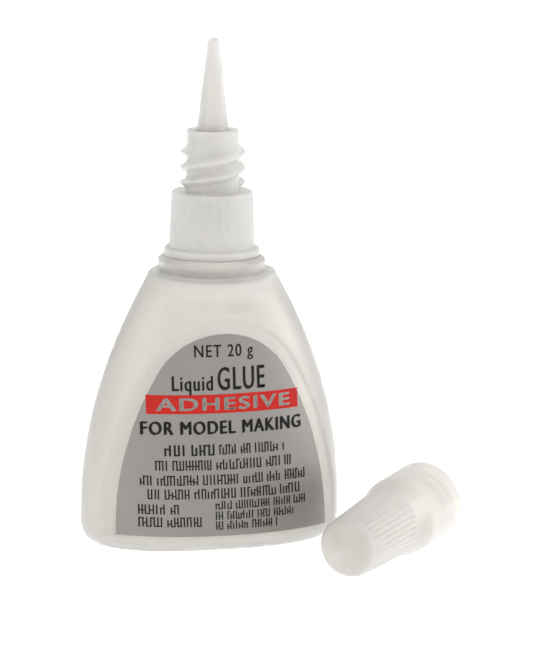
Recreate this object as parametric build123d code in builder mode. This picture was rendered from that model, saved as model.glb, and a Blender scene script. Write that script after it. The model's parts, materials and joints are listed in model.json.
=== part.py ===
"""A squeeze bottle for liquid glue: an oval bell-shaped bottle, a push-on nozzle unit with a
long dispensing spout, a ribbed screw cap that lies beside the bottle, and a film label.

Millimetres. Z is up, the origin is the centre of the bottle's base on the neck's axis, and the
label faces -Y. The cap is drawn upright, mouth down at its own origin, then laid on the table.
"""

import os
from math import atan2, cos, degrees, radians, sin, tan

from build123d import *

# Bottle body: oval plan, whose half axes change with height
BODY_HALF_WIDTH = 23.4
BODY_HALF_DEPTH = 13.95
BELLY_HEIGHT = 7.2
SIDE_CURVE = 0.0072
DEPTH_LEAN = 0.168
DEPTH_CURVE = 0.00076
SHOULDER_HEIGHT = 48.6
BASE_ROUND = 4.15
SHOULDER_ROUND = 0.6
WALL = 0.9
PUSH_UP = 0.4
PUSH_UP_HALF_WIDTH = 15.0
PUSH_UP_HALF_DEPTH = 6.5
PUSH_UP_TAPER = 45
SECTION_COUNT = 9
SEAM_WIDTH = 0.3
SEAM_PROUD = 0.07

# Round root that joins the oval body to the neck
ROOT_RADIUS = 10.6
ROOT_WAIST_RADIUS = 7.6
ROOT_WAIST_HEIGHT = 41.2
ROOT_TURN_HEIGHT = 44.6

# Neck of the bottle, with the ring that the nozzle unit stops against
NECK_RADIUS = 6.2
NECK_BORE = 5.2
NECK_TOP = 60.45
RING_RADIUS = 9.54
RING_LOW_RADIUS = 9.33
RING_EDGE_HEIGHT = 50.48
RING_TOP_HEIGHT = 51.15
RING_TOP_RADIUS = 8.7

# Arched label and the shallow panel it lies in
LABEL_BASE = 3.4
LABEL_TOP = 38.4
LABEL_HALF_WIDTH = 19.1
LABEL_SHOULDER = (11.3, 32.1)
LABEL_SIDE = (16.7, 20.0)
LABEL_THICKNESS = 0.12
PANEL_MARGIN = 2.4
PANEL_DEPTH = 0.3
FILM_GAP = 0.02

# Liquid glue inside
GLUE_LEVEL = 27.0
GLUE_GAP = 0.1

# Nozzle collar: fluted skirt, stop flange, threaded tube
SKIRT_TOP = 62.55
SKIRT_TOP_RADIUS = 7.2
SKIRT_BASE = 52.7
SKIRT_BASE_RADIUS = 7.56
SKIRT_EDGE = 0.4
STOP_BASE = 51.25
STOP_RADIUS = 8.5
TUBE_RADIUS = 4.7
RIM_RADIUS = 4.55
RIM_HEIGHT = 73.45
RIM_EDGE = 0.2
TUBE_BORE = 3.8
DECK_THICKNESS = 1.2
FLUTE_COUNT = 54
FLUTE_RADIUS = 0.36
FLUTE_DEPTH = 0.1

# Two-start cap thread, the male one on the tube and the female one in the cap
THREAD_PITCH = 2.77
THREAD_STARTS = 2
THREAD_TURNS = 1.17
THREAD_BASE = 63.74
THREAD_ANGLE = -30
THREAD_CREST = 5.8
THREAD_ROOT_WIDTH = 1.9
THREAD_CREST_WIDTH = 0.35
THREAD_SINK = 0.3
CAP_THREAD_TURNS = 0.85
CAP_THREAD_BASE = 1.3
CAP_THREAD_TIP = 4.95
CAP_THREAD_ROOT_WIDTH = 0.95
CAP_THREAD_TIP_WIDTH = 0.45

# Spout
SPOUT_TIP = 89.4
SPOUT_TIP_RADIUS = 1.06
SPOUT_TIP_ROUND = 0.35
SPOUT_BASE_RADIUS = 2.85
SPOUT_LEDGE = 73.1
SPOUT_ORIFICE = 0.45
SPOUT_THROAT = 1.9
SPOUT_INLET = 2.9
FLANGE_RADIUS = 6.15
FLANGE_THICKNESS = 0.8
PLUG_DEPTH = 4.0
PLUG_BORE = 4.3
RUNNING_GAP = 0.05

# Cap, measured from its mouth to its nose
CAP_LENGTH = 33.2
CAP_MOUTH_RADIUS = 7.0
CAP_MOUTH_EDGE = 0.35
CAP_COLLAR_LENGTH = 10.1
CAP_FLARE_END = 15.6
CAP_WAIST_RADIUS = 5.95
CAP_NOSE_RADIUS = 5.2
CAP_NOSE_ROUND = 3.4
CAP_CROWN = 0.75
CAP_WALL = 1.1
CAP_BORE = 5.95
CAP_BORE_DEPTH = 7.8
CAP_STEP_RADIUS = 5.0
CAP_STEP_START = 8.8
CAP_STEP_END = 11.6
CAP_RIB_COUNT = 36
CAP_RIB_RADIUS = 0.26
CAP_RIB_PROUD = 0.13
CAP_SEAT_GAP = 0.15

# Sealing plug in the cap's nose
SEAL_RADIUS = 3.9
SEAL_BASE = 27.6
SEAL_TOP = 30.0
SEAL_CUP_RADIUS = 2.6
SEAL_CUP_BASE = 24.2
SEAL_GAP = 0.08
SNAP_RADIUS = 3.7
SNAP_HEIGHT = 0.5

# Where the loose cap lies and which way its nose points; how far the nozzle unit lifts to meet it
CAP_PLACE = (36.0, -13.1)
CAP_HEADING = 225.6
CAP_TABLE_GAP = 0.03
NOZZLE_LIFT = 44.0

FRONT = (0, -1, 0)
THREAD_LEAD = THREAD_PITCH * THREAD_STARTS
DECK_UNDERSIDE = SKIRT_TOP - DECK_THICKNESS
FLANGE_TOP = DECK_UNDERSIDE - RUNNING_GAP
FLANGE_UNDERSIDE = FLANGE_TOP - FLANGE_THICKNESS


def half_width(height):
    """Half the body's width at a height: plumb at the belly, then a parabola to the shoulder."""
    return BODY_HALF_WIDTH - SIDE_CURVE * max(0.0, height - BELLY_HEIGHT) ** 2


def half_depth(height):
    """Half the body's depth at a height: it thins steadily towards the shoulder."""
    return BODY_HALF_DEPTH - DEPTH_LEAN * height + DEPTH_CURVE * height**2


def oval_body(inset, base, top, base_round):
    """The body's solid, moved in by an inset, between two heights, with a rounded base edge."""
    with BuildPart() as body:
        for step in range(SECTION_COUNT):
            height = base + (top - base) * step / (SECTION_COUNT - 1)
            with BuildSketch(Plane.XY.offset(height)):
                Ellipse(half_width(height + inset) - inset, half_depth(height) - inset)
        loft()
        fillet(body.faces().sort_by(Axis.Z)[0].edges(), base_round)
    return body.part


def arch_outline(margin):
    """The label's arched outline, moved out by a margin."""
    shoulder_x, shoulder_z = LABEL_SHOULDER
    side_x, side_z = LABEL_SIDE
    with BuildSketch(Plane.XZ) as arch:
        with BuildLine():
            Line((-LABEL_HALF_WIDTH, LABEL_BASE), (LABEL_HALF_WIDTH, LABEL_BASE))
            ThreePointArc((LABEL_HALF_WIDTH, LABEL_BASE), (side_x, side_z), (shoulder_x, shoulder_z))
            ThreePointArc((shoulder_x, shoulder_z), (0, LABEL_TOP), (-shoulder_x, shoulder_z))
            ThreePointArc((-shoulder_x, shoulder_z), (-side_x, side_z), (-LABEL_HALF_WIDTH, LABEL_BASE))
        make_face()
        if margin:
            offset(amount=margin, kind=Kind.INTERSECTION)
    return arch.sketch


def helix_rib(root, tip, base, turns, root_width, tip_width):
    """One helical thread rib that starts on +X; its root is sunk a little into the wall."""
    outward = 1 if tip > root else -1
    with BuildPart() as rib:
        with BuildLine() as path:
            Helix(THREAD_LEAD, THREAD_LEAD * turns, root, center=(0, 0, base))
        with BuildSketch(Plane(origin=path.line @ 0, x_dir=(1, 0, 0), z_dir=FRONT)):
            with BuildLine():
                Polyline(
                    (-outward * THREAD_SINK, -root_width / 2),
                    (tip - root, -tip_width / 2),
                    (tip - root, tip_width / 2),
                    (-outward * THREAD_SINK, root_width / 2),
                    close=True,
                )
            make_face()
        sweep(path=path.line, is_frenet=True)
    return rib.part


def cap_swing():
    """The one turn that takes the cap from the table to upright over the spout: axis and degrees.

    The cap lies on the end of its collar and on the ends of its ribs, so its mouth stands a
    little clear of the table.
    """
    bearing_length = CAP_LENGTH - CAP_NOSE_ROUND - CAP_COLLAR_LENGTH
    bearing_drop = CAP_MOUTH_RADIUS - CAP_NOSE_RADIUS - CAP_RIB_PROUD
    tilt = atan2(bearing_drop, bearing_length)
    mouth_height = CAP_MOUTH_RADIUS * cos(tilt) + CAP_COLLAR_LENGTH * sin(tilt) + CAP_TABLE_GAP
    heading = radians(CAP_HEADING)
    nose = Vector(cos(heading) * cos(tilt), sin(heading) * cos(tilt), -sin(tilt))
    lying = Vector(CAP_PLACE[0], CAP_PLACE[1], mouth_height)
    upright = Vector(0, 0, SKIRT_TOP + CAP_SEAT_GAP + NOZZLE_LIFT)
    travel = upright - lying
    axis = (Vector(0, 0, 1) - nose).cross(travel).normalized()
    start = nose - axis * nose.dot(axis)
    end = Vector(0, 0, 1) - axis * axis.Z
    angle = atan2(axis.dot(start.cross(end)), start.dot(end))
    pivot = (upright + lying) * 0.5 + axis.cross(travel) * (0.5 / tan(angle / 2))
    return Axis(pivot, axis), degrees(angle)


os.makedirs("parts", exist_ok=True)

# ---- bottle body ---------------------------------------------------------------------------

outer_body = oval_body(0, 0, SHOULDER_HEIGHT, BASE_ROUND)
inner_body = oval_body(WALL, WALL, SHOULDER_HEIGHT - WALL, BASE_ROUND - WALL)
panel_floor = oval_body(PANEL_DEPTH, 0, SHOULDER_HEIGHT, PANEL_DEPTH)

with BuildPart() as mould_seam:
    Box(BODY_HALF_WIDTH * 3, SEAM_WIDTH, SHOULDER_HEIGHT * 2)
    add(oval_body(-SEAM_PROUD, 0, SHOULDER_HEIGHT - SHOULDER_ROUND, BASE_ROUND), mode=Mode.INTERSECT)

with BuildPart() as panel_cutter:
    extrude(arch_outline(PANEL_MARGIN), amount=BODY_HALF_DEPTH * 2, dir=FRONT)
    add(panel_floor, mode=Mode.SUBTRACT)

with BuildPart() as bottle_body:
    add(outer_body)
    add(mould_seam.part)
    # round root, shoulder ring and neck
    with BuildSketch(Plane.XZ):
        with BuildLine():
            Polyline(
                (0, ROOT_WAIST_HEIGHT),
                (ROOT_WAIST_RADIUS, ROOT_WAIST_HEIGHT),
                (ROOT_RADIUS, ROOT_TURN_HEIGHT),
                (ROOT_RADIUS, SHOULDER_HEIGHT - SHOULDER_ROUND),
                (ROOT_RADIUS - SHOULDER_ROUND, SHOULDER_HEIGHT),
                (RING_LOW_RADIUS, SHOULDER_HEIGHT),
                (RING_RADIUS, RING_EDGE_HEIGHT),
                (RING_TOP_RADIUS, RING_TOP_HEIGHT),
                (NECK_RADIUS, RING_TOP_HEIGHT),
                (NECK_RADIUS, NECK_TOP),
                (0, NECK_TOP),
                close=True,
            )
        make_face()
    revolve(axis=Axis.Z)
    add(inner_body, mode=Mode.SUBTRACT)
    # hollow of the root and the neck's bore
    with BuildSketch(Plane.XZ):
        with BuildLine():
            Polyline(
                (0, ROOT_WAIST_HEIGHT),
                (ROOT_WAIST_RADIUS - WALL, ROOT_WAIST_HEIGHT),
                (ROOT_RADIUS - WALL, ROOT_TURN_HEIGHT),
                (ROOT_RADIUS - WALL, SHOULDER_HEIGHT - WALL),
                (NECK_BORE, SHOULDER_HEIGHT + WALL),
                (NECK_BORE, NECK_TOP),
                (0, NECK_TOP),
                close=True,
            )
        make_face()
    revolve(axis=Axis.Z, mode=Mode.SUBTRACT)
    add(panel_cutter.part, mode=Mode.SUBTRACT)
    with BuildSketch(Plane.XY):
        Ellipse(PUSH_UP_HALF_WIDTH, PUSH_UP_HALF_DEPTH)
    extrude(amount=PUSH_UP, taper=PUSH_UP_TAPER, mode=Mode.SUBTRACT)
bottle_body.part.label = "bottle_body"
export_step(bottle_body.part, "parts/bottle_body.step")

# ---- label film and liquid glue --------------------------------------------------------------

with BuildPart() as front_label:
    extrude(arch_outline(0), amount=BODY_HALF_DEPTH * 2, dir=FRONT)
    film_back = PANEL_DEPTH - FILM_GAP
    film_face = film_back - LABEL_THICKNESS
    add(oval_body(film_face, 0, SHOULDER_HEIGHT, film_face), mode=Mode.INTERSECT)
    add(oval_body(film_back, 0, SHOULDER_HEIGHT, film_back), mode=Mode.SUBTRACT)
front_label.part.label = "front_label"
export_step(front_label.part, "parts/front_label.step")

with BuildPart() as glue_fill:
    glue_inset = WALL + GLUE_GAP
    add(oval_body(glue_inset, glue_inset, SHOULDER_HEIGHT - glue_inset, BASE_ROUND - glue_inset))
    split(bisect_by=Plane.XY.offset(GLUE_LEVEL), keep=Keep.BOTTOM)
glue_fill.part.label = "glue_fill"
export_step(glue_fill.part, "parts/glue_fill.step")

# ---- nozzle unit: collar and spout -----------------------------------------------------------

male_rib = helix_rib(
    TUBE_RADIUS, THREAD_CREST, THREAD_BASE, THREAD_TURNS, THREAD_ROOT_WIDTH, THREAD_CREST_WIDTH
)
skirt_bore = NECK_RADIUS + RUNNING_GAP
skirt_height = SKIRT_TOP - SKIRT_BASE
skirt_draft = degrees(atan2(SKIRT_BASE_RADIUS - SKIRT_TOP_RADIUS, skirt_height))
skirt_middle_radius = (SKIRT_TOP_RADIUS + SKIRT_BASE_RADIUS) / 2

with BuildPart() as nozzle_collar:
    with BuildSketch(Plane.XZ):
        with BuildLine():
            Polyline(
                (skirt_bore, STOP_BASE),
                (STOP_RADIUS, STOP_BASE),
                (STOP_RADIUS - RIM_EDGE / 2, SKIRT_BASE - RIM_EDGE),
                (STOP_RADIUS - RIM_EDGE, SKIRT_BASE),
                (SKIRT_BASE_RADIUS, SKIRT_BASE),
                (SKIRT_TOP_RADIUS, SKIRT_TOP - SKIRT_EDGE),
                (SKIRT_TOP_RADIUS - SKIRT_EDGE, SKIRT_TOP),
                (TUBE_RADIUS, SKIRT_TOP),
                (RIM_RADIUS, RIM_HEIGHT - RIM_EDGE),
                (RIM_RADIUS - RIM_EDGE, RIM_HEIGHT),
                (TUBE_BORE, RIM_HEIGHT),
                (TUBE_BORE, DECK_UNDERSIDE),
                (skirt_bore, DECK_UNDERSIDE),
                close=True,
            )
        make_face()
    revolve(axis=Axis.Z)
    with Locations((0, 0, (SKIRT_TOP + SKIRT_BASE) / 2)):
        with PolarLocations(skirt_middle_radius + FLUTE_RADIUS - FLUTE_DEPTH, FLUTE_COUNT):
            Cylinder(FLUTE_RADIUS, skirt_height, rotation=(0, -skirt_draft, 0), mode=Mode.SUBTRACT)
    with PolarLocations(0, THREAD_STARTS, start_angle=THREAD_ANGLE):
        add(male_rib)
nozzle_collar.part.label = "nozzle_collar"
export_step(nozzle_collar.part, "parts/nozzle_collar.step")

spout_body_radius = TUBE_BORE - RUNNING_GAP
plug_radius = NECK_BORE - RUNNING_GAP
plug_base = FLANGE_UNDERSIDE - PLUG_DEPTH

with BuildPart() as spout:
    with BuildSketch(Plane.XZ):
        with BuildLine():
            Polyline(
                (SPOUT_ORIFICE, SPOUT_TIP),
                (SPOUT_TIP_RADIUS - SPOUT_TIP_ROUND, SPOUT_TIP),
                (SPOUT_TIP_RADIUS, SPOUT_TIP - SPOUT_TIP_ROUND),
                (SPOUT_BASE_RADIUS, SPOUT_LEDGE),
                (spout_body_radius, SPOUT_LEDGE),
                (spout_body_radius, FLANGE_TOP),
                (FLANGE_RADIUS, FLANGE_TOP),
                (FLANGE_RADIUS, FLANGE_UNDERSIDE),
                (plug_radius, FLANGE_UNDERSIDE),
                (plug_radius, plug_base + SKIRT_EDGE),
                (plug_radius - SKIRT_EDGE, plug_base),
                (PLUG_BORE, plug_base),
                (PLUG_BORE, FLANGE_UNDERSIDE - FLANGE_THICKNESS),
                (SPOUT_INLET, FLANGE_TOP),
                (SPOUT_THROAT, SPOUT_LEDGE),
                (SPOUT_ORIFICE, SPOUT_TIP - SPOUT_TIP_RADIUS),
                close=True,
            )
        make_face()
    revolve(axis=Axis.Z)
spout.part.label = "spout"
export_step(spout.part, "parts/spout.step")

# ---- cap: drawn upright with its mouth at the origin, then laid on the table -------------------

swing_axis, swing_angle = cap_swing()
cap_lift = Vector(0, 0, SKIRT_TOP + CAP_SEAT_GAP + NOZZLE_LIFT)
nose_start = CAP_LENGTH - CAP_NOSE_ROUND
cone_slope = atan2(CAP_WAIST_RADIUS - CAP_NOSE_RADIUS, nose_start - CAP_FLARE_END)
rib_middle = (CAP_FLARE_END + nose_start) / 2
rib_radius = (CAP_WAIST_RADIUS + CAP_NOSE_RADIUS) / 2 + CAP_RIB_PROUD - CAP_RIB_RADIUS
female_rib = helix_rib(
    CAP_BORE,
    CAP_THREAD_TIP,
    CAP_THREAD_BASE,
    CAP_THREAD_TURNS,
    CAP_THREAD_ROOT_WIDTH,
    CAP_THREAD_TIP_WIDTH,
)
# the female rib runs half a pitch away from the male one when the cap is seated
male_start = THREAD_BASE - SKIRT_TOP - CAP_SEAT_GAP + THREAD_PITCH / 2
cap_thread_angle = THREAD_ANGLE + 360 * (CAP_THREAD_BASE - male_start) / THREAD_LEAD

with BuildPart() as cap_shell:
    with BuildSketch(Plane.XZ):
        with BuildLine():
            Polyline(
                (CAP_BORE, 0),
                (CAP_MOUTH_RADIUS - CAP_MOUTH_EDGE, 0),
                (CAP_MOUTH_RADIUS, CAP_MOUTH_EDGE),
                (CAP_MOUTH_RADIUS, CAP_COLLAR_LENGTH),
            )
            Spline(
                (CAP_MOUTH_RADIUS, CAP_COLLAR_LENGTH),
                (CAP_WAIST_RADIUS, CAP_FLARE_END),
                tangents=((0, 1), (-sin(cone_slope), cos(cone_slope))),
            )
            Line((CAP_WAIST_RADIUS, CAP_FLARE_END), (CAP_NOSE_RADIUS, nose_start))
            Spline(
                (CAP_NOSE_RADIUS, nose_start),
                (CAP_NOSE_RADIUS - CAP_NOSE_ROUND, CAP_LENGTH - CAP_CROWN),
                (0, CAP_LENGTH),
                tangents=((-sin(cone_slope), cos(cone_slope)), (-1, 0)),
            )
            Polyline(
                (0, CAP_LENGTH),
                (0, SEAL_TOP + RUNNING_GAP),
                (SEAL_RADIUS + RUNNING_GAP, SEAL_TOP + RUNNING_GAP),
                (SEAL_RADIUS + RUNNING_GAP, SEAL_BASE - RUNNING_GAP),
                (SNAP_RADIUS, SEAL_BASE - RUNNING_GAP),
                (SNAP_RADIUS, SEAL_BASE - RUNNING_GAP - SNAP_HEIGHT),
                (CAP_WAIST_RADIUS - CAP_WALL, CAP_FLARE_END),
                (CAP_STEP_RADIUS, CAP_STEP_END),
                (CAP_STEP_RADIUS, CAP_STEP_START),
                (CAP_BORE, CAP_BORE_DEPTH),
                (CAP_BORE, 0),
            )
        make_face()
    revolve(axis=Axis.Z)
    with Locations((0, 0, rib_middle)):
        with PolarLocations(rib_radius, CAP_RIB_COUNT):
            Cylinder(CAP_RIB_RADIUS, nose_start - CAP_FLARE_END, rotation=(0, -degrees(cone_slope), 0))
    with PolarLocations(0, THREAD_STARTS, start_angle=cap_thread_angle):
        add(female_rib)

seal_tip = SPOUT_TIP - SKIRT_TOP - CAP_SEAT_GAP
spout_slope = (SPOUT_BASE_RADIUS - SPOUT_TIP_RADIUS) / (SPOUT_TIP - SPOUT_TIP_ROUND - SPOUT_LEDGE)
cup_mouth = SPOUT_TIP_RADIUS + SEAL_GAP + spout_slope * (seal_tip - SEAL_CUP_BASE)

with BuildPart() as cap_plug:
    with BuildSketch(Plane.XZ):
        with BuildLine():
            Polyline(
                (0, SEAL_TOP),
                (SEAL_RADIUS, SEAL_TOP),
                (SEAL_RADIUS, SEAL_BASE),
                (SEAL_CUP_RADIUS, SEAL_BASE),
                (SEAL_CUP_RADIUS, SEAL_CUP_BASE),
                (cup_mouth, SEAL_CUP_BASE),
                (SPOUT_TIP_RADIUS + SEAL_GAP, seal_tip),
                (SPOUT_TIP_RADIUS + SEAL_GAP, seal_tip + SEAL_GAP),
                (0, seal_tip + SEAL_GAP),
                close=True,
            )
        make_face()
    revolve(axis=Axis.Z)

for piece, name in ((cap_shell.part, "cap_shell"), (cap_plug.part, "cap_plug")):
    lying_piece = piece.translate(cap_lift).rotate(swing_axis, -swing_angle)
    lying_piece.label = name
    export_step(lying_piece, f"parts/{name}.step")
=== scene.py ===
"""The looks of the glue applicator bottle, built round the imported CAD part. Metres, Z up."""

import json
import random
from math import atan2, ceil, cos, degrees, exp, hypot, pi, radians, sin, sqrt

import bmesh
import bpy
from mathutils import Matrix, Vector


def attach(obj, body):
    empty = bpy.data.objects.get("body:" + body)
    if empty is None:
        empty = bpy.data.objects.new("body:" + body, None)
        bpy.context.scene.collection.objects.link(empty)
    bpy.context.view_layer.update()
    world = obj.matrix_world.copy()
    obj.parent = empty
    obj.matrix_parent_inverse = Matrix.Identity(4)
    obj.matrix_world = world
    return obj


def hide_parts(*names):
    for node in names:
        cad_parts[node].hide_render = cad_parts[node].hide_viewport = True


MM = 0.001

# Camera, as the photograph was taken: degrees and millimetres
CAMERA_AZIMUTH = -16.32
CAMERA_ELEVATION = 10.89
CAMERA_ROLL = 0.60
CAMERA_DISTANCE = 811.9
CAMERA_SIDEWAYS = 11.51
CAMERA_AIM_HEIGHT = 38.60
CAMERA_LENS = 254.8

# Bottle body, in millimetres as in the CAD part
BODY_HALF_WIDTH = 23.4
BODY_HALF_DEPTH = 13.95
BELLY_HEIGHT = 7.2
SIDE_CURVE = 0.0072
DEPTH_LEAN = 0.168
DEPTH_CURVE = 0.00076
SHOULDER_HEIGHT = 48.6
SHOULDER_ROUND = 0.6
BASE_ROUND = 4.15
WALL = 0.9
PUSH_UP = 0.4
PUSH_UP_OUTER = (15.0, 6.5)
PUSH_UP_INNER = (14.6, 6.1)
PUSH_UP_FOOT = 0.1
SEAM_HALF_WIDTH = 0.22
SEAM_PROUD = 0.06
ROOT_RADIUS = 10.6
ROOT_TURN_HEIGHT = 44.6
ROOT_SLOPE = 0.88
ROOT_BLEND = 1.6
ROOT_TURN_BLEND = 1.4
NECK_RADIUS = 6.2
NECK_BORE = 5.2
NECK_TOP = 60.45
RING_RADIUS = 9.54
RING_LOW_RADIUS = 9.33
RING_EDGE_HEIGHT = 50.48
RING_TOP_HEIGHT = 51.15
RING_TOP_RADIUS = 8.7
THROAT_FLARE = 1.2
THROAT_RISE = 0.9
THROAT_REACH = 2.0
SHOULDER_SHARES = (0.35, 0.7, 0.9)

# Rings across the base: shares of the push-up's inner oval, then (share of its edge, height) down it
PUSH_UP_SHARES = (0.2, 0.4, 0.6, 0.8, 0.96)
PUSH_UP_EDGE = ((0.25, 0.38), (0.5, 0.2), (0.75, 0.03))

# The label's arch: one arc over the top, run into an arc down each side; the panel is that, moved out
ARCH_BASE = 3.4
ARCH_SHOULDER = (11.3, 32.1)
ARCH_TOP_CENTRE = 25.12
ARCH_TOP_RADIUS = 13.28
ARCH_SIDE_CENTRE = (-35.43, 3.99)
ARCH_SIDE_RADIUS = 54.54
PANEL_MARGIN = 2.4
PANEL_EDGE = 0.9
PANEL_DEPTH = 0.3
FILM_FACE_INSET = 0.16

# Nozzle collar; its closed section starts a little way up the skirt's bore
BORE_START = 4
SKIRT_TOP = 62.55
SKIRT_TOP_RADIUS = 7.2
SKIRT_BASE = 52.7
SKIRT_BASE_RADIUS = 7.56
STOP_BASE = 51.25
STOP_RADIUS = 8.5
TUBE_RADIUS = 4.7
RIM_HEIGHT = 73.45
RIM_RADIUS = 4.55
TUBE_BORE = 3.8
DECK_UNDERSIDE = 61.35
SKIRT_BORE = 6.25
STOP_LEAN = 0.1
STOP_CHAMFER = 0.35
SKIRT_EDGE = 0.3
SURFACE_SLACK = 0.02
BORE_SLACK = 0.1
FLUTE_COUNT = 54
FLUTE_DEPTH = 0.1
FLUTE_LOW_FADE = 0.4
FLUTE_HIGH_FADE = 0.7

# Two threads with two starts each: (base height, start angle, turns, rise, root width, crest width)
THREAD_LEAD = 5.54
THREAD_FADE = 0.05
MALE_THREAD = (63.74, -30.0, 1.17, 1.1, 1.9, 0.35)
FEMALE_THREAD = (1.3, -103.1, 0.85, -1.0, 0.95, 0.45)

# Spout
SPOUT_TIP = 89.4
SPOUT_TIP_RADIUS = 1.06
SPOUT_TIP_FLAT = 0.72
SPOUT_TIP_DROP = 0.6
SPOUT_BASE_RADIUS = 2.85
SPOUT_LEDGE = 73.1
SPOUT_ORIFICE = 0.45
SPOUT_THROAT = 1.9
SPOUT_INLET = 2.9
SPOUT_BODY_RADIUS = 3.75
FLANGE_TOP = 61.3
FLANGE_UNDERSIDE = 60.5
FLANGE_RADIUS = 6.15
PLUG_RADIUS = 5.15
PLUG_BORE = 4.3
PLUG_FUNNEL = 0.8
PLUG_BASE = 56.5

# Cap, from its mouth at 0 to its nose
CAP_LENGTH = 33.2
CAP_MOUTH_RADIUS = 7.0
CAP_COLLAR_LENGTH = 10.1
CAP_FLARE_END = 15.6
CAP_WAIST_RADIUS = 5.95
CAP_NOSE_RADIUS = 5.2
CAP_NOSE_START = 29.8
CAP_NOSE_BEND = (1.8, 32.45)
CAP_NOSE_BEND_WAY = (-0.969, 0.529)
CAP_BORE = 5.95
CAP_BORE_DEPTH = 7.8
CAP_STEP_RADIUS = 5.0
CAP_STEP_START = 8.8
CAP_STEP_END = 11.6
CAP_INSIDE_WAIST = 4.85
CAP_SEAT_RADIUS = 3.95
CAP_SEAT_TOP = 30.05
CAP_SEAT_BASE = 27.55
CAP_SNAP_RADIUS = 3.7
CAP_SNAP_BASE = 27.05
CAP_RIB_COUNT = 36
CAP_RIB_PROUD = 0.13
CAP_RIB_HALF_WIDTH = 0.24
CAP_LIP = 1.0
CAP_UPRIGHT_HEIGHT = 106.7

# The cap's ribs fade at both ends of its cone: (how far past that end, over what length)
CAP_RIB_LOW_FADE = (1.0, 1.6)
CAP_RIB_HIGH_FADE = (0.2, 0.5)

# A section's corners: points round each, and the most of a straight side that a round may take
ROUND_STEPS = 5
ROUND_SHARE = 0.45

# How finely the shapes are drawn: steps along a section in millimetres, rings up it, columns round it
NECK_STEP = 0.5
SPOUT_STEP = 0.35
THREAD_STEP = 0.16
CAP_STEP = 0.3
CONE_STEP = 0.25
FLARE_RINGS = 24
NOSE_RINGS = 18
NOSE_TOP_RINGS = 10
OUTER_WALL_RINGS = 240
INNER_WALL_RINGS = 90
WALL_RINGS_PER_BASE_RING = 14
FEWEST_BASE_RINGS = 6
SHOULDER_RINGS = 6
BODY_COLUMNS = 720
COLLAR_COLUMNS = 540
SPOUT_COLUMNS = 192
CAP_COLUMNS = 432

# Plastics: light tint, dark tint, scatter distance in metres, clearness and roughness
BOTTLE_PLASTIC = ((0.850, 0.827, 0.788), (0.830, 0.807, 0.767), 0.0030, 0.70, 0.34)
NOZZLE_PLASTIC = ((0.988, 0.958, 0.896), (0.972, 0.942, 0.880), 0.0030, 0.62, 0.36)
# The spout is the nozzle's plastic with a darker tint: painted shade that holds back the extra light falling
# on the thin, free-standing cone
SPOUT_PLASTIC_PAINTED_SHADE = ((0.820, 0.801, 0.770), (0.805, 0.786, 0.754), 0.0030, 0.58, 0.36)
CAP_PLASTIC = ((0.775, 0.751, 0.714), (0.755, 0.731, 0.693), 0.0025, 0.52, 0.36)

# Film (dark tint, light tint), inks (light tint, dark tint), and how much of the liquid glue shows
FILM_TINTS = ((0.244, 0.233, 0.219), (0.274, 0.262, 0.246))
BLACK_TINTS = ((0.016, 0.015, 0.015), (0.010, 0.009, 0.009))
RED_TINTS = ((0.45, 0.018, 0.013), (0.39, 0.014, 0.010))
LIQUID_SHOWS = 0.05

# The part of a noise texture's range that its values mostly fill
NOISE_LOW = 0.3
NOISE_HIGH = 0.7

# Studio: lights are (name, place, width, height, power, colour), in metres and watts
FLOOR_HALF = 4.0
FLOOR_DROP = 0.00002
FLOOR_GLOW = 1.15
WORLD_GLOW = 0.94
WORLD_TINT = (1.0, 0.995, 0.985, 1)
LIGHT_AIM = (0, 0, 0.03)
SOFT_LIGHTS = (
    ("top_light", (0.0, -0.1, 0.7), 1.2, 1.2, 1.6, (1, 1, 1)),
    ("left_light", (-0.55, -0.35, 0.35), 0.35, 0.6, 0.6, (1, 0.99, 0.97)),
    ("right_light", (0.60, -0.20, 0.28), 0.35, 0.6, 1.5, (1, 1, 1)),
)

# Print on the label, in millimetres
BAND_PROUD = 0.015
INK_PROUD = 0.03
INK_SUNK = 0.03
BOLD_SHIFT = 0.09
BOLD_CLIMB = 0.4
BOLD_SPACING = 1.16
CUT_STEP = 0.8

# Words: (text, left, right, base line, capital height, copies)
DARK_WORDS = (
    ("NET 20 g", -5.4, 5.3, 34.5, 2.1, 2),
    ("Liquid", -9.4, -2.2, 28.7, 2.5, 3),
    ("GLUE", -1.4, 7.4, 28.7, 3.9, 3),
    ("FOR MODEL MAKING", -14.9, 14.3, 21.1, 2.2, 4),
)
BAND_WORD = ("ADHESIVE", -12.2, 12.2, 25.25, 2.1, 4)
BAND_BOX = (-13.8, 13.8, 24.7, 28.0)

# Lines of small strokes: (left, right, base line, height, stroke)
FINE_LINES = (
    (-11.0, -2.2, 17.4, 1.95, 0.36),
    (-1.4, 10.8, 17.5, 1.75, 0.26),
    (-12.6, 12.4, 14.9, 1.75, 0.26),
    (-15.2, 14.8, 12.3, 1.75, 0.26),
    (-14.0, 14.0, 9.9, 1.75, 0.26),
    (-15.6, -8.6, 7.3, 1.7, 0.26),
    (-15.6, -4.8, 5.1, 1.7, 0.26),
    (-2.4, 14.8, 8.0, 1.45, 0.23),
    (-2.4, 12.4, 6.2, 1.45, 0.23),
    (-2.4, 9.0, 4.5, 1.45, 0.23),
)
FIRST_GROUP = (3, 8)
LATER_GROUPS = (4, 14)
GROUP_GAP = 2.2
STROKE_GAP = (0.9, 1.6)
TALL_CHANCE = 0.8
SHORT_SHARE = 0.72
LINK_CHANCE = 0.6
LINK_LEVELS = (0.0, 0.42, 1.0)
LINK_SHARE = 0.8
RANDOM_SEED = 7


# ---- materials -------------------------------------------------------------------------------


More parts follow.
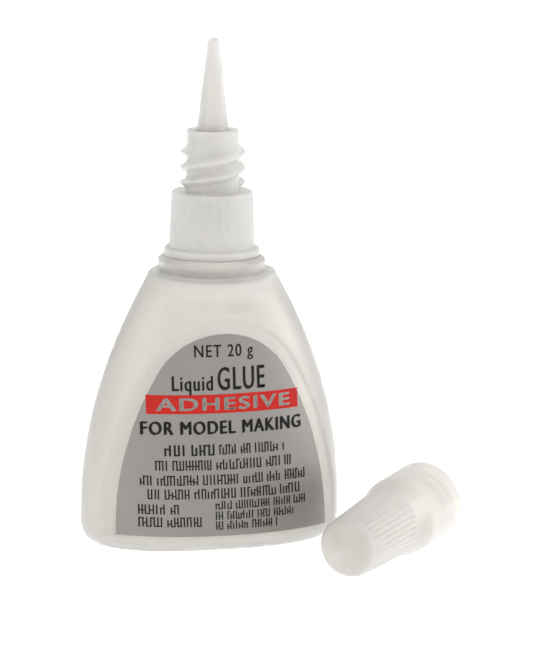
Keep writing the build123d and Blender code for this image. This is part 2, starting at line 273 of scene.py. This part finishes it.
class Nodes:
    """A material's node tree, with short ways to add nodes and to join them."""

    def __init__(self, name):
        self.material = bpy.data.materials.new(name)
        self.material.use_nodes = True
        self.tree = self.material.node_tree
        self.tree.nodes.clear()

    def add(self, kind, **values):
        """Adds a node. Keys are its settings or its inputs; an input may be another node's output."""
        node = self.tree.nodes.new(kind)
        for key, value in values.items():
            if hasattr(node, key):
                setattr(node, key, value)
                continue
            socket = node.inputs[key.replace("_", " ")]
            if isinstance(value, bpy.types.NodeSocket):
                self.tree.links.new(value, socket)
            else:
                socket.default_value = value
        return node

    def noise(self, scale, detail=3.0):
        """A noise texture in the object's own coordinates, in cells per metre."""
        place = self.add("ShaderNodeTexCoord").outputs["Object"]
        return self.add("ShaderNodeTexNoise", Vector=place, Scale=scale, Detail=detail).outputs["Fac"]

    def span(self, factor, low, high):
        """Maps the values a noise texture mostly gives to low..high."""
        node = self.add("ShaderNodeMapRange", Value=factor)
        node.inputs["From Min"].default_value = NOISE_LOW
        node.inputs["From Max"].default_value = NOISE_HIGH
        node.inputs["To Min"].default_value = low
        node.inputs["To Max"].default_value = high
        return node.outputs["Result"]

    def blend(self, factor, first, second):
        """Mixes two colours."""
        node = self.tree.nodes.new("ShaderNodeMix")
        node.data_type = "RGBA"
        self.tree.links.new(factor, node.inputs["Factor"])
        node.inputs["A"].default_value = (*first, 1)
        node.inputs["B"].default_value = (*second, 1)
        return node.outputs["Result"]

    def bump(self, height, depth, strength):
        """A bump of a given depth in metres."""
        return self.add("ShaderNodeBump", Height=height, Distance=depth, Strength=strength).outputs["Normal"]

    def finish(self, shader):
        """Sends a shader to the surface output and gives the material."""
        output = self.add("ShaderNodeOutputMaterial")
        self.tree.links.new(shader, output.inputs["Surface"])
        return self.material


def milky_plastic(name, light, dark, scatter, clear, rough):
    """Satin polyethylene: milky, lit from within, faintly uneven, with a fine moulded surface."""
    n = Nodes(name)
    cloud = n.noise(90, 2)
    grain = n.noise(2600, 2)
    normal = n.bump(grain, 0.00002, 0.35)
    shader = n.add(
        "ShaderNodeBsdfPrincipled",
        Base_Color=n.blend(cloud, dark, light),
        Roughness=n.span(n.noise(240, 3), rough - 0.04, rough + 0.05),
        IOR=1.51,
        Subsurface_Weight=1.0,
        Subsurface_Radius=(1.0, 0.96, 0.88),
        Subsurface_Scale=scatter,
        Transmission_Weight=clear,
        Coat_Weight=0.35,
        Coat_Roughness=0.18,
        Normal=normal,
    )
    return n.finish(shader.outputs["BSDF"])


def satin_film(name):
    """Silver label film: metallic, satin, with a fine grain."""
    n = Nodes(name)
    cloud = n.noise(70, 2)
    grain = n.noise(9000, 2)
    shader = n.add(
        "ShaderNodeBsdfPrincipled",
        Base_Color=n.blend(cloud, *FILM_TINTS),
        Metallic=0.75,
        Roughness=n.span(grain, 0.42, 0.55),
        Normal=n.bump(grain, 0.00001, 0.3),
    )
    return n.finish(shader.outputs["BSDF"])


def ink(name, light, dark):
    """Printing ink: near matt, a little uneven in density."""
    n = Nodes(name)
    shader = n.add(
        "ShaderNodeBsdfPrincipled",
        Base_Color=n.blend(n.noise(2500, 3), dark, light),
        Roughness=n.span(n.noise(4000, 2), 0.50, 0.65),
        Specular_IOR_Level=0.15,
        Normal=n.bump(n.noise(7000, 2), 0.000006, 0.3),
    )
    return n.finish(shader.outputs["BSDF"])


def liquid(name):
    """Clear liquid glue behind the milky wall: it mostly lets the light through."""
    n = Nodes(name)
    wet = n.add(
        "ShaderNodeBsdfPrincipled",
        Base_Color=n.blend(n.noise(60, 2), (0.97, 0.96, 0.90), (0.99, 0.98, 0.94)),
        Roughness=n.span(n.noise(150, 2), 0.05, 0.12),
        IOR=1.45,
        Transmission_Weight=0.8,
        Normal=n.bump(n.noise(120, 2), 0.00005, 0.2),
    )
    clear = n.add("ShaderNodeBsdfTransparent", Color=(0.995, 0.99, 0.96, 1))
    mix = n.tree.nodes.new("ShaderNodeMixShader")
    mix.inputs[0].default_value = LIQUID_SHOWS
    n.tree.links.new(clear.outputs[0], mix.inputs[1])
    n.tree.links.new(wet.outputs[0], mix.inputs[2])
    return n.finish(mix.outputs[0])


def pale_floor(name):
    """Plain pale floor with the slightest tonal drift."""
    n = Nodes(name)
    shader = n.add(
        "ShaderNodeBsdfPrincipled",
        Base_Color=n.blend(n.noise(4, 2), (0.27, 0.27, 0.27), (0.29, 0.29, 0.29)),
        Roughness=0.9,
        Emission_Color=(1.0, 1.0, 0.995, 1),
        Emission_Strength=FLOOR_GLOW,
    )
    return n.finish(shader.outputs["BSDF"])


def dress(node, material):
    """Gives a CAD node one material."""
    node.data.materials.clear()
    node.data.materials.append(material)


def linked(name, data):
    """A new object that holds some data, put in the scene."""
    made = bpy.data.objects.new(name, data)
    bpy.context.scene.collection.objects.link(made)
    return made


def stands_for(piece, body, node):
    """Puts a piece on its body, in place of a CAD node, which it hides."""
    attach(piece, body)
    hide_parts(node)


# ---- shapes -------------------------------------------------------------------------------------


def soft_max(first, second, width):
    """The larger of two values, with the change-over rounded across a width."""
    share = max(0.0, min(1.0, 0.5 + 0.5 * (first - second) / width))
    return second + (first - second) * share + width * share * (1 - share)


def ease(share):
    """A smooth step from 0 to 1."""
    share = max(0.0, min(1.0, share))
    return share * share * (3 - 2 * share)


def oval(half_x, half_y, angle):
    """An oval's radius in one direction."""
    return 1 / sqrt((cos(angle) / half_x) ** 2 + (sin(angle) / half_y) ** 2)


def swept(name, rings, columns, material, closed, place=None):
    """A quad mesh through rings; each ring gives (radius, height) for an angle, in millimetres."""
    corners, faces, rows = [], [], []
    for ring in rings:
        radius, height = ring(0.0)
        start = len(corners)
        if radius < 1e-6:
            corners.append((0, 0, height * MM))
            rows.append([start] * columns)
            continue
        for column in range(columns):
            angle = 2 * pi * column / columns
            radius, height = ring(angle)
            corners.append((radius * cos(angle) * MM, radius * sin(angle) * MM, height * MM))
        rows.append(list(range(start, start + columns)))
    following = rows[1:] + rows[:1] if closed else rows[1:]
    for low, high in zip(rows, following):
        for column in range(columns):
            after = (column + 1) % columns
            face = tuple(dict.fromkeys((low[column], low[after], high[after], high[column])))
            if len(face) > 2:
                faces.append(face)
    mesh = bpy.data.meshes.new(name)
    mesh.from_pydata(corners, [], faces)
    work = bmesh.new()
    work.from_mesh(mesh)
    bmesh.ops.recalc_face_normals(work, faces=work.faces[:])
    if work.calc_volume(signed=True) < 0:
        bmesh.ops.reverse_faces(work, faces=work.faces[:])
    work.to_mesh(mesh)
    work.free()
    if place is not None:
        mesh.transform(place)
    mesh.polygons.foreach_set("use_smooth", [True] * len(mesh.polygons))
    mesh.materials.append(material)
    return linked(name, mesh)


def rounded_path(corners, step):
    """Points along a chain of (radius, height, rounding) corners, rounded and evenly filled in."""
    path = []
    for index, (radius, height, rounding) in enumerate(corners):
        here = Vector((radius, height))
        if index in (0, len(corners) - 1) or rounding == 0:
            path.append(here)
            continue
        before = Vector(corners[index - 1][:2]) - here
        after = Vector(corners[index + 1][:2]) - here
        reach = min(rounding, before.length * ROUND_SHARE, after.length * ROUND_SHARE)
        first = here + before.normalized() * reach
        last = here + after.normalized() * reach
        for turn in range(ROUND_STEPS + 1):
            share = turn / ROUND_STEPS
            path.append(first * (1 - share) ** 2 + here * 2 * share * (1 - share) + last * share**2)
    filled = [path[0]]
    for point in path[1:]:
        gap = point - filled[-1]
        count = max(1, ceil(gap.length / step))
        base = filled[-1]
        filled += [base + gap * (part / count) for part in range(1, count + 1)]
    return [(point.x, point.y) for point in filled]


def bend(first, last, way_out, way_in, steps):
    """Points on a smooth curve between two places with given end directions."""
    first, last = Vector(first), Vector(last)
    reach = (last - first).length
    way_out, way_in = Vector(way_out) * reach, Vector(way_in) * reach
    points = []
    for step in range(1, steps + 1):
        t = step / steps
        point = first * (2 * t**3 - 3 * t**2 + 1) + way_out * (t**3 - 2 * t**2 + t)
        point += last * (3 * t**2 - 2 * t**3) + way_in * (t**3 - t**2)
        points.append((point.x, point.y))
    return points


def round_ring(radius, height):
    """A plain round ring."""
    return lambda angle: (radius, height)


def thread_rise(height, angle, thread):
    """How far a two-start thread stands out (or in) at a place."""
    base, start, turns, rise, root_width, crest_width = thread
    best = 0.0
    for lead_in in (0.0, 0.5):
        turn = ((degrees(angle) - start) / 360 - lead_in) % 1.0
        while turn <= turns:
            off = abs(height - base - THREAD_LEAD * turn)
            flank = (root_width - crest_width) / 2
            share = 1 - (off - crest_width / 2) / flank
            fade = ease(turn / THREAD_FADE) * ease((turns - turn) / THREAD_FADE)
            best = max(best, max(0.0, min(1.0, share)) * fade)
            turn += 1.0
    return rise * best


# ---- bottle body ---------------------------------------------------------------------------------


def half_width(height):
    """Half the body's width at a height."""
    return BODY_HALF_WIDTH - SIDE_CURVE * max(0.0, height - BELLY_HEIGHT) ** 2


def half_depth(height):
    """Half the body's depth at a height."""
    return BODY_HALF_DEPTH - DEPTH_LEAN * height + DEPTH_CURVE * height**2


def wall_radius(height, angle, inset):
    """The body's radius: the oval, run softly into the round root under the neck."""
    root_line = ROOT_RADIUS - ROOT_SLOPE * (ROOT_TURN_HEIGHT - height)
    root = -soft_max(-ROOT_RADIUS, -root_line, ROOT_TURN_BLEND) - inset
    body = oval(half_width(height) - inset, half_depth(height) - inset, angle)
    return soft_max(body, root, ROOT_BLEND)


def arch_depth(x, height):
    """How far a place is inside the label's arch, in millimetres; negative outside it."""
    shoulder_x, shoulder_height = ARCH_SHOULDER
    side_x, side_height = ARCH_SIDE_CENTRE
    above = height - ARCH_TOP_CENTRE
    if above * shoulder_x > abs(x) * (shoulder_height - ARCH_TOP_CENTRE):
        inside = ARCH_TOP_RADIUS - hypot(x, above)
    else:
        inside = ARCH_SIDE_RADIUS - hypot(abs(x) - side_x, height - side_height)
    return min(inside, height - ARCH_BASE)


def outer_point(radius, height, angle):
    """Lowers the front panel into a point of the outer wall, and raises the mould seam on the sides."""
    x, y = radius * cos(angle), radius * sin(angle)
    if y < 0:
        share = ease(0.5 + (arch_depth(x, height) + PANEL_MARGIN) / PANEL_EDGE)
        radius = min(radius, wall_radius(height, angle, PANEL_DEPTH * share))
    return radius + SEAM_PROUD * exp(-((y / SEAM_HALF_WIDTH) ** 2)), height


def side_rings(inset, floor, rounding, top, count, finish):
    """Rings from the floor up the wall, with a round of a given radius where they meet."""

    def base_turn(angle):
        foot = wall_radius(floor, angle, inset)
        lean = (wall_radius(floor + BASE_ROUND, angle, inset) - foot) / BASE_ROUND
        centre = foot + lean * rounding - rounding * sqrt(1 + lean**2)
        return centre, atan2(-lean, 1)

    def low_ring(share):
        def ring(angle):
            centre, last = base_turn(angle)
            sweep = -pi / 2 + (last + pi / 2) * share
            return finish(centre + rounding * cos(sweep), floor + rounding * (1 + sin(sweep)), angle)

        return ring

    def high_ring(share):
        def ring(angle):
            last = base_turn(angle)[1]
            start = floor + rounding * (1 + sin(last))
            height = start + (top - start) * share
            return finish(wall_radius(height, angle, inset), height, angle)

        return ring

    low_count = max(FEWEST_BASE_RINGS, count // WALL_RINGS_PER_BASE_RING)
    rings = [low_ring(step / low_count) for step in range(low_count)]
    return rings + [high_ring(step / count) for step in range(count + 1)]


def shoulder_rings(inset, top, rounding, reach, finish):
    """Rings over the shoulder's round edge and in to a round outline of a given radius."""
    rings = []
    for step in range(1, SHOULDER_RINGS + 1):
        sweep = pi / 2 * step / SHOULDER_RINGS
        drop = inset + rounding * (1 - cos(sweep))
        height = top - rounding + rounding * sin(sweep)
        rings.append(lambda angle, h=height, d=drop: finish(wall_radius(h, angle, d), h, angle))
    for share in SHOULDER_SHARES:

        def ring(angle, share=share):
            edge = wall_radius(top, angle, inset + rounding)
            return edge + (reach - edge) * share, top

        rings.append(ring)
    return rings


def bottle_body(material):
    """The blow-moulded bottle: outside, shoulder ring, neck and inside, as one closed shell."""

    def base_ring(half_x, half_y, height):
        return lambda angle: (oval(half_x, half_y, angle), height)

    def plain(radius, height, angle):
        return radius, height

    rings = [round_ring(0.0, PUSH_UP)]
    for share in PUSH_UP_SHARES:
        rings.append(base_ring(PUSH_UP_INNER[0] * share, PUSH_UP_INNER[1] * share, PUSH_UP))
    for share, height in PUSH_UP_EDGE:
        half_x = PUSH_UP_INNER[0] + (PUSH_UP_OUTER[0] - PUSH_UP_INNER[0]) * share
        half_y = PUSH_UP_INNER[1] + (PUSH_UP_OUTER[1] - PUSH_UP_INNER[1]) * share
        rings.append(base_ring(half_x, half_y, height))
    rings.append(base_ring(PUSH_UP_OUTER[0] + PUSH_UP_FOOT, PUSH_UP_OUTER[1] + PUSH_UP_FOOT, 0.0))
    edge = SHOULDER_HEIGHT - SHOULDER_ROUND
    rings += side_rings(0.0, 0.0, BASE_ROUND, edge, OUTER_WALL_RINGS, outer_point)
    rings += shoulder_rings(0.0, SHOULDER_HEIGHT, SHOULDER_ROUND, RING_LOW_RADIUS, plain)
    neck = rounded_path(
        [
            (RING_LOW_RADIUS, SHOULDER_HEIGHT, 0),
            (RING_RADIUS, RING_EDGE_HEIGHT, 0.25),
            (RING_TOP_RADIUS, RING_TOP_HEIGHT, 0.25),
            (NECK_RADIUS, RING_TOP_HEIGHT, 0.2),
            (NECK_RADIUS, NECK_TOP, 0.2),
            (NECK_BORE, NECK_TOP, 0.2),
            (NECK_BORE, SHOULDER_HEIGHT + WALL, 0.5),
            (NECK_BORE + THROAT_FLARE, SHOULDER_HEIGHT - WALL + THROAT_RISE, 0),
        ],
        NECK_STEP,
    )
    rings += [round_ring(radius, height) for radius, height in neck]
    inner_top = SHOULDER_HEIGHT - WALL
    inner_edge = inner_top - SHOULDER_ROUND
    inside = side_rings(WALL, WALL, BASE_ROUND - WALL, inner_edge, INNER_WALL_RINGS, plain)
    inside += shoulder_rings(WALL, inner_top, SHOULDER_ROUND, NECK_BORE + THROAT_REACH, plain)
    rings += reversed(inside)
    rings.append(round_ring(0.0, WALL))
    body = swept("bottle_shell", rings, BODY_COLUMNS, material, closed=False)
    stands_for(body, "bottle", "bottle_body")


# ---- nozzle unit and cap ---------------------------------------------------------------------------


def nozzle_collar(material):
    """Fluted skirt, stop flange, threaded tube and rim."""
    path = rounded_path(
        [
            (SKIRT_BORE, STOP_BASE + BORE_START, 0),
            (SKIRT_BORE, STOP_BASE, 0.15),
            (STOP_RADIUS, STOP_BASE, 0.2),
            (STOP_RADIUS - STOP_LEAN, SKIRT_BASE - STOP_CHAMFER, 0.25),
            (STOP_RADIUS - STOP_CHAMFER, SKIRT_BASE, 0.2),
            (SKIRT_BASE_RADIUS, SKIRT_BASE, 0.2),
            (SKIRT_TOP_RADIUS, SKIRT_TOP, 0.45),
            (TUBE_RADIUS, SKIRT_TOP, 0.25),
            (RIM_RADIUS, RIM_HEIGHT, 0.3),
            (TUBE_BORE, RIM_HEIGHT, 0.15),
            (TUBE_BORE, DECK_UNDERSIDE, 0.15),
            (SKIRT_BORE, DECK_UNDERSIDE, 0.2),
            (SKIRT_BORE, STOP_BASE + BORE_START, 0),
        ],
        THREAD_STEP,
    )

    def ring(radius, height):
        on_skirt = radius > SKIRT_TOP_RADIUS - SKIRT_EDGE and SKIRT_BASE < height < SKIRT_TOP
        on_tube = TUBE_RADIUS + SURFACE_SLACK >= radius > TUBE_BORE + BORE_SLACK and height > SKIRT_TOP

        def at(angle):
            if on_skirt:
                wave = 0.5 + 0.5 * cos(FLUTE_COUNT * angle)
                low_end = ease((height - SKIRT_BASE) / FLUTE_LOW_FADE)
                ends = low_end * ease((SKIRT_TOP - height) / FLUTE_HIGH_FADE)
                return radius - FLUTE_DEPTH * wave**2 * ends, height
            if on_tube:
                return radius + thread_rise(height, angle, MALE_THREAD), height
            return radius, height

        return at

    rings = [ring(radius, height) for radius, height in path[:-1]]
    piece = swept("nozzle_skirt", rings, COLLAR_COLUMNS, material, closed=True)
    stands_for(piece, "nozzle_unit", "nozzle_collar")


def dispensing_spout(material):
    """The long cone with its ledge, flange and plug, open from end to end."""
    path = rounded_path(
        [
            (SPOUT_ORIFICE, SPOUT_TIP - SPOUT_TIP_RADIUS, 0),
            (SPOUT_ORIFICE, SPOUT_TIP, 0.1),
            (SPOUT_TIP_RADIUS * SPOUT_TIP_FLAT, SPOUT_TIP, 0.3),
            (SPOUT_TIP_RADIUS, SPOUT_TIP - SPOUT_TIP_RADIUS * SPOUT_TIP_DROP, 0.5),
            (SPOUT_BASE_RADIUS, SPOUT_LEDGE, 0.35),
            (SPOUT_BODY_RADIUS, SPOUT_LEDGE, 0.2),
            (SPOUT_BODY_RADIUS, FLANGE_TOP, 0.2),
            (FLANGE_RADIUS, FLANGE_TOP, 0.1),
            (FLANGE_RADIUS, FLANGE_UNDERSIDE, 0.1),
            (PLUG_RADIUS, FLANGE_UNDERSIDE, 0.1),
            (PLUG_RADIUS, PLUG_BASE, 0.4),
            (PLUG_BORE, PLUG_BASE, 0.1),
            (PLUG_BORE, FLANGE_UNDERSIDE - PLUG_FUNNEL, 0.1),
            (SPOUT_INLET, FLANGE_TOP, 0.2),
            (SPOUT_THROAT, SPOUT_LEDGE, 0.5),
            (SPOUT_ORIFICE, SPOUT_TIP - SPOUT_TIP_RADIUS, 0),
        ],
        SPOUT_STEP,
    )
    rings = [round_ring(radius, height) for radius, height in path[:-1]]
    piece = swept("spout_cone", rings, SPOUT_COLUMNS, material, closed=True)
    stands_for(piece, "nozzle_unit", "spout")


def cap_place(joints):
    """Where the loose cap lies: the upright cap, turned back by the whole of its swing."""
    swing = next(joint for joint in joints if joint["name"] == "cap_swing")
    pivot = Matrix.Translation(swing["pos_m"])
    turn = Matrix.Rotation(-radians(swing["range_deg"][1]), 4, Vector(swing["axis"]))
    return pivot @ turn @ pivot.inverted() @ Matrix.Translation((0, 0, CAP_UPRIGHT_HEIGHT * MM))


def screw_cap(material, place):
    """The cap's shell: smooth mouth, flare, ribbed cone, domed nose, and the thread inside."""
    cone_way = Vector((CAP_NOSE_RADIUS - CAP_WAIST_RADIUS, CAP_NOSE_START - CAP_FLARE_END)).normalized()
    nose = (CAP_NOSE_RADIUS, CAP_NOSE_START)
    waist = (CAP_WAIST_RADIUS, CAP_FLARE_END)
    top = (0.0, CAP_LENGTH)
    collar = [(CAP_MOUTH_RADIUS, CAP_LIP, 0), (CAP_MOUTH_RADIUS, CAP_COLLAR_LENGTH, 0)]
    outside = rounded_path(collar, CAP_STEP)
    outside += bend(outside[-1], waist, (0, 1), cone_way, FLARE_RINGS)
    outside += rounded_path([(*waist, 0), (*nose, 0)], CONE_STEP)[1:]
    outside += bend(nose, CAP_NOSE_BEND, cone_way, CAP_NOSE_BEND_WAY, NOSE_RINGS)
    outside += bend(CAP_NOSE_BEND, top, CAP_NOSE_BEND_WAY, (-1, 0), NOSE_TOP_RINGS)
    outside[-1] = top
    mouth = rounded_path(
        [
            (CAP_BORE, CAP_LIP, 0),
            (CAP_BORE, 0.0, 0.3),
            (CAP_MOUTH_RADIUS, 0.0, 0.45),
            (CAP_MOUTH_RADIUS, CAP_LIP, 0),
        ],
        CAP_STEP,
    )
    inside = rounded_path(
        [
            (0.0, CAP_SEAT_TOP, 0),
            (CAP_SEAT_RADIUS, CAP_SEAT_TOP, 0.1),
            (CAP_SEAT_RADIUS, CAP_SEAT_BASE, 0.05),
            (CAP_SNAP_RADIUS, CAP_SEAT_BASE, 0.05),
            (CAP_SNAP_RADIUS, CAP_SNAP_BASE, 0.1),
            (CAP_INSIDE_WAIST, CAP_FLARE_END, 0.8),
            (CAP_STEP_RADIUS, CAP_STEP_END, 0.8),
            (CAP_STEP_RADIUS, CAP_STEP_START, 0.3),
            (CAP_BORE, CAP_BORE_DEPTH, 0.3),
            (CAP_BORE, CAP_LIP, 0),
        ],
        THREAD_STEP,
    )

    def inside_ring(radius, height):
        threaded = radius > CAP_BORE - SURFACE_SLACK and height < CAP_BORE_DEPTH

        def at(angle):
            if threaded:
                return radius + thread_rise(height, angle, FEMALE_THREAD), height
            return radius, height

        return at

    def outside_ring(radius, height):
        before, rise = CAP_RIB_LOW_FADE
        beyond, fall = CAP_RIB_HIGH_FADE
        window = ease((height - CAP_FLARE_END + before) / rise)
        window *= ease((CAP_NOSE_START + beyond - height) / fall)

        def at(angle):
            off = (angle * CAP_RIB_COUNT / (2 * pi) + 0.5) % 1.0 - 0.5
            away = abs(off) * 2 * pi / CAP_RIB_COUNT * radius / CAP_RIB_HALF_WIDTH
            return radius + CAP_RIB_PROUD * max(0.0, 1 - away**2) * window, height

        return at

    rings = [inside_ring(radius, height) for radius, height in inside]
    rings += [round_ring(radius, height) for radius, height in mouth[1:-1]]
    rings += [outside_ring(radius, height) for radius, height in outside]
    piece = swept("cap_cone", rings, CAP_COLUMNS, material, closed=False, place=place)
    stands_for(piece, "cap", "cap_shell")


# ---- print on the label ------------------------------------------------------------------------


def label_point(x, z, proud):
    """A point on the label's face, in metres, from a place across and up in millimetres."""
    half_x = half_width(z) - FILM_FACE_INSET
    half_y = half_depth(z) - FILM_FACE_INSET
    y = -half_y * sqrt(max(0.0, 1 - (x / half_x) ** 2))
    normal = Vector((x / half_x**2, y / half_y**2, 0)).normalized()
    return (Vector((x, y, z)) + normal * proud) * MM


def wrap_on_label(name, flat, material, proud):
    """Turns flat artwork (X across, Y up, millimetres) into thin ink that follows the label."""
    mesh = bmesh.new()
    mesh.from_mesh(flat)
    for axis in (0, 1):
        along = [v.co[axis] for v in mesh.verts]
        way = Vector((1 - axis, axis, 0))
        for step in range(ceil(min(along) / CUT_STEP), ceil(max(along) / CUT_STEP)):
            everything = mesh.verts[:] + mesh.edges[:] + mesh.faces[:]
            bmesh.ops.bisect_plane(mesh, geom=everything, plane_co=way * step * CUT_STEP, plane_no=way)
    for face in mesh.faces:
        if face.normal.z < 0:
            face.normal_flip()
    front = mesh.faces[:]
    back = bmesh.ops.duplicate(mesh, geom=mesh.verts[:] + mesh.edges[:] + front)
    back_verts = {v for v in back["geom"] if isinstance(v, bmesh.types.BMVert)}
    pairs = back["vert_map"]
    for edge in [e for e in mesh.edges if len(e.link_faces) == 1 and e.verts[0] not in back_verts]:
        first, second = edge.link_loops[0].vert, edge.link_loops[0].link_loop_next.vert
        mesh.faces.new((second, first, pairs[first], pairs[second]))
    for face in [f for f in back["geom"] if isinstance(f, bmesh.types.BMFace)]:
        face.normal_flip()
    for v in mesh.verts:
        v.co = label_point(v.co.x, v.co.y, -INK_SUNK if v in back_verts else proud)
    mesh.normal_update()
    done = bpy.data.meshes.new(name)
    mesh.to_mesh(done)
    mesh.free()
    done.materials.append(material)
    return linked(name, done)


def word(text, left, right, base, height, spacing):
    """Flat artwork of a word, from left to right, on a base line, with capitals of a height."""
    curve = bpy.data.curves.new("word", "FONT")
    curve.body = text
    curve.space_character = spacing
    curve.resolution_u = 4
    holder = linked("word", curve)
    bpy.context.view_layer.update()
    flat = bpy.data.meshes.new_from_object(holder)
    bpy.data.objects.remove(holder)
    capital = bpy.data.curves.new("capital", "FONT")
    capital.body = "E"
    holder = linked("capital", capital)
    bpy.context.view_layer.update()
    capital_height = holder.dimensions.y
    bpy.data.objects.remove(holder)
    xs = [v.co.x for v in flat.vertices]
    across = (right - left) / (max(xs) - min(xs))
    up = height / capital_height
    flat.transform(Matrix.Diagonal((across, up, 1, 1)))
    flat.transform(Matrix.Translation((left - min(xs) * across, base, 0)))
    return flat


def bold(text, left, right, base, height, copies):
    """Flat artwork of a heavier word: copies of it, each shifted a little, for wrapping as one."""
    shifts = [BOLD_SHIFT * copy for copy in range(copies)]
    right -= shifts[-1]
    return [
        word(text, left + shift, right + shift, base + shift * BOLD_CLIMB, height, BOLD_SPACING)
        for shift in shifts
    ]


def bars(boxes):
    """Flat artwork made of upright rectangles: (left, right, bottom, top) each."""
    flat = bpy.data.meshes.new("bars")
    corners, faces = [], []
    for left, right, bottom, top in boxes:
        start = len(corners)
        corners += [(left, bottom, 0), (right, bottom, 0), (right, top, 0), (left, top, 0)]
        faces.append((start, start + 1, start + 2, start + 3))
    flat.from_pydata(corners, [], faces)
    return flat


def fine_print(left, right, base, height, stroke, chance):
    """A line of small print shown as random strokes in word-long groups; it spells nothing."""
    boxes = []
    x = left
    letters_left = chance.randint(*FIRST_GROUP)
    while x + stroke < right:
        tall = height if chance.random() < TALL_CHANCE else height * SHORT_SHARE
        boxes.append((x, x + stroke, base, base + tall))
        gap = stroke * chance.uniform(*STROKE_GAP)
        letters_left -= 1
        if letters_left > 0 and x + stroke + gap + stroke < right and chance.random() < LINK_CHANCE:
            level = chance.choice(LINK_LEVELS) * (tall - stroke)
            top = base + level + stroke * LINK_SHARE
            boxes.append((x + stroke, x + stroke + gap, base + level, top))
        x += stroke + gap
        if letters_left <= 0:
            x += stroke * GROUP_GAP
            letters_left = chance.randint(*LATER_GROUPS)
    return bars(boxes)


def joined(parts):
    """One flat mesh from several."""
    mesh = bmesh.new()
    for part in parts:
        mesh.from_mesh(part)
    flat = bpy.data.meshes.new("artwork")
    mesh.to_mesh(flat)
    mesh.free()
    return flat


def label_print(black, red, silver):
    """The generic print: a content line, plain words, a red band with a word in it, and small strokes."""
    chance = random.Random(RANDOM_SEED)
    dark = []
    for line in DARK_WORDS:
        dark += bold(*line)
    for line in FINE_LINES:
        dark.append(fine_print(*line, chance))
    band = bars([BAND_BOX])
    reversed_word = joined(bold(*BAND_WORD))
    prints = (
        ("print_black", joined(dark), black, INK_PROUD),
        ("print_red", band, red, BAND_PROUD),
        ("print_silver", reversed_word, silver, INK_PROUD),
    )
    for name, artwork, material, proud in prints:
        piece = wrap_on_label(name, artwork, material, proud)
        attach(piece, "bottle")


# ---- stage -------------------------------------------------------------------------------------


def soft_light(name, place, width, height, power, colour):
    """A rectangular soft box that points at the bottle."""
    data = bpy.data.lights.new(name, "AREA")
    data.shape = "RECTANGLE"
    data.size = width
    data.size_y = height
    data.energy = power
    data.color = colour
    light = linked(name, data)
    light.location = place
    light.rotation_mode = "QUATERNION"
    light.rotation_quaternion = (Vector(LIGHT_AIM) - Vector(place)).to_track_quat("-Z", "Y")


def stage():
    """Pale floor, even surroundings and three soft lights."""
    floor_mesh = bpy.data.meshes.new("floor")
    half = FLOOR_HALF
    corners = [(-half, -half, 0), (half, -half, 0), (half, half, 0), (-half, half, 0)]
    floor_mesh.from_pydata(corners, [], [(0, 1, 2, 3)])
    floor_mesh.materials.append(pale_floor("floor_paint"))
    floor = linked("floor", floor_mesh)
    floor.location.z = -FLOOR_DROP
    world = bpy.data.worlds.new("studio")
    world.use_nodes = True
    background = world.node_tree.nodes["Background"]
    background.inputs["Color"].default_value = WORLD_TINT
    background.inputs["Strength"].default_value = WORLD_GLOW
    bpy.context.scene.world = world
    for light in SOFT_LIGHTS:
        soft_light(*light)


def photo_camera():
    """The camera at the photograph's viewing angle."""
    azimuth, elevation, roll = map(radians, (CAMERA_AZIMUTH, CAMERA_ELEVATION, CAMERA_ROLL))
    back = Vector((sin(azimuth) * cos(elevation), -cos(azimuth) * cos(elevation), sin(elevation)))
    right = Vector((cos(azimuth), sin(azimuth), 0))
    up = back.cross(right)
    aim = right * CAMERA_SIDEWAYS + Vector((0, 0, CAMERA_AIM_HEIGHT))
    rolled_right = right * cos(roll) + up * sin(roll)
    rolled_up = up * cos(roll) - right * sin(roll)
    data = bpy.data.cameras.new("camera")
    data.lens = CAMERA_LENS
    camera = linked("camera", data)
    turn = Matrix((rolled_right, rolled_up, back)).transposed().to_4x4()
    camera.matrix_world = Matrix.Translation((aim + back * CAMERA_DISTANCE) * MM) @ turn
    bpy.context.scene.camera = camera


# ---- build --------------------------------------------------------------------------------------

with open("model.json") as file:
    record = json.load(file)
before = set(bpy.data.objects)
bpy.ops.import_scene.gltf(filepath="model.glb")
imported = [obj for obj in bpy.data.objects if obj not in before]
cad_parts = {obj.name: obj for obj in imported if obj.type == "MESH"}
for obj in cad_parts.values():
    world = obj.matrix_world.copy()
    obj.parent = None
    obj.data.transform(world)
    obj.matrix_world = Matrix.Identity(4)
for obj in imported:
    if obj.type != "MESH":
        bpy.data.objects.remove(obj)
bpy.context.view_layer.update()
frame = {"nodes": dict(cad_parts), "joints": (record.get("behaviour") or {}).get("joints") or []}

bottle_plastic = milky_plastic("bottle_plastic", *BOTTLE_PLASTIC)
nozzle_plastic = milky_plastic("nozzle_plastic", *NOZZLE_PLASTIC)
# Spout: the nozzle's plastic darkened as painted shade, against the light that falls on the cone from all
# sides
spout_plastic_painted_shade = milky_plastic("spout_plastic_painted_shade", *SPOUT_PLASTIC_PAINTED_SHADE)
cap_plastic = milky_plastic("cap_plastic", *CAP_PLASTIC)
label_film = satin_film("label_film")
bottle_body(bottle_plastic)
nozzle_collar(nozzle_plastic)
dispensing_spout(spout_plastic_painted_shade)
screw_cap(cap_plastic, cap_place(frame["joints"]))
dress(frame["nodes"]["cap_plug"], cap_plastic)
dress(frame["nodes"]["front_label"], label_film)
dress(frame["nodes"]["glue_fill"], liquid("glue_liquid"))

label_print(
    ink("black_ink", *BLACK_TINTS),
    ink("red_ink", *RED_TINTS),
    label_film,
)
stage()
photo_camera()
bpy.context.scene.view_settings.view_transform = "Standard"
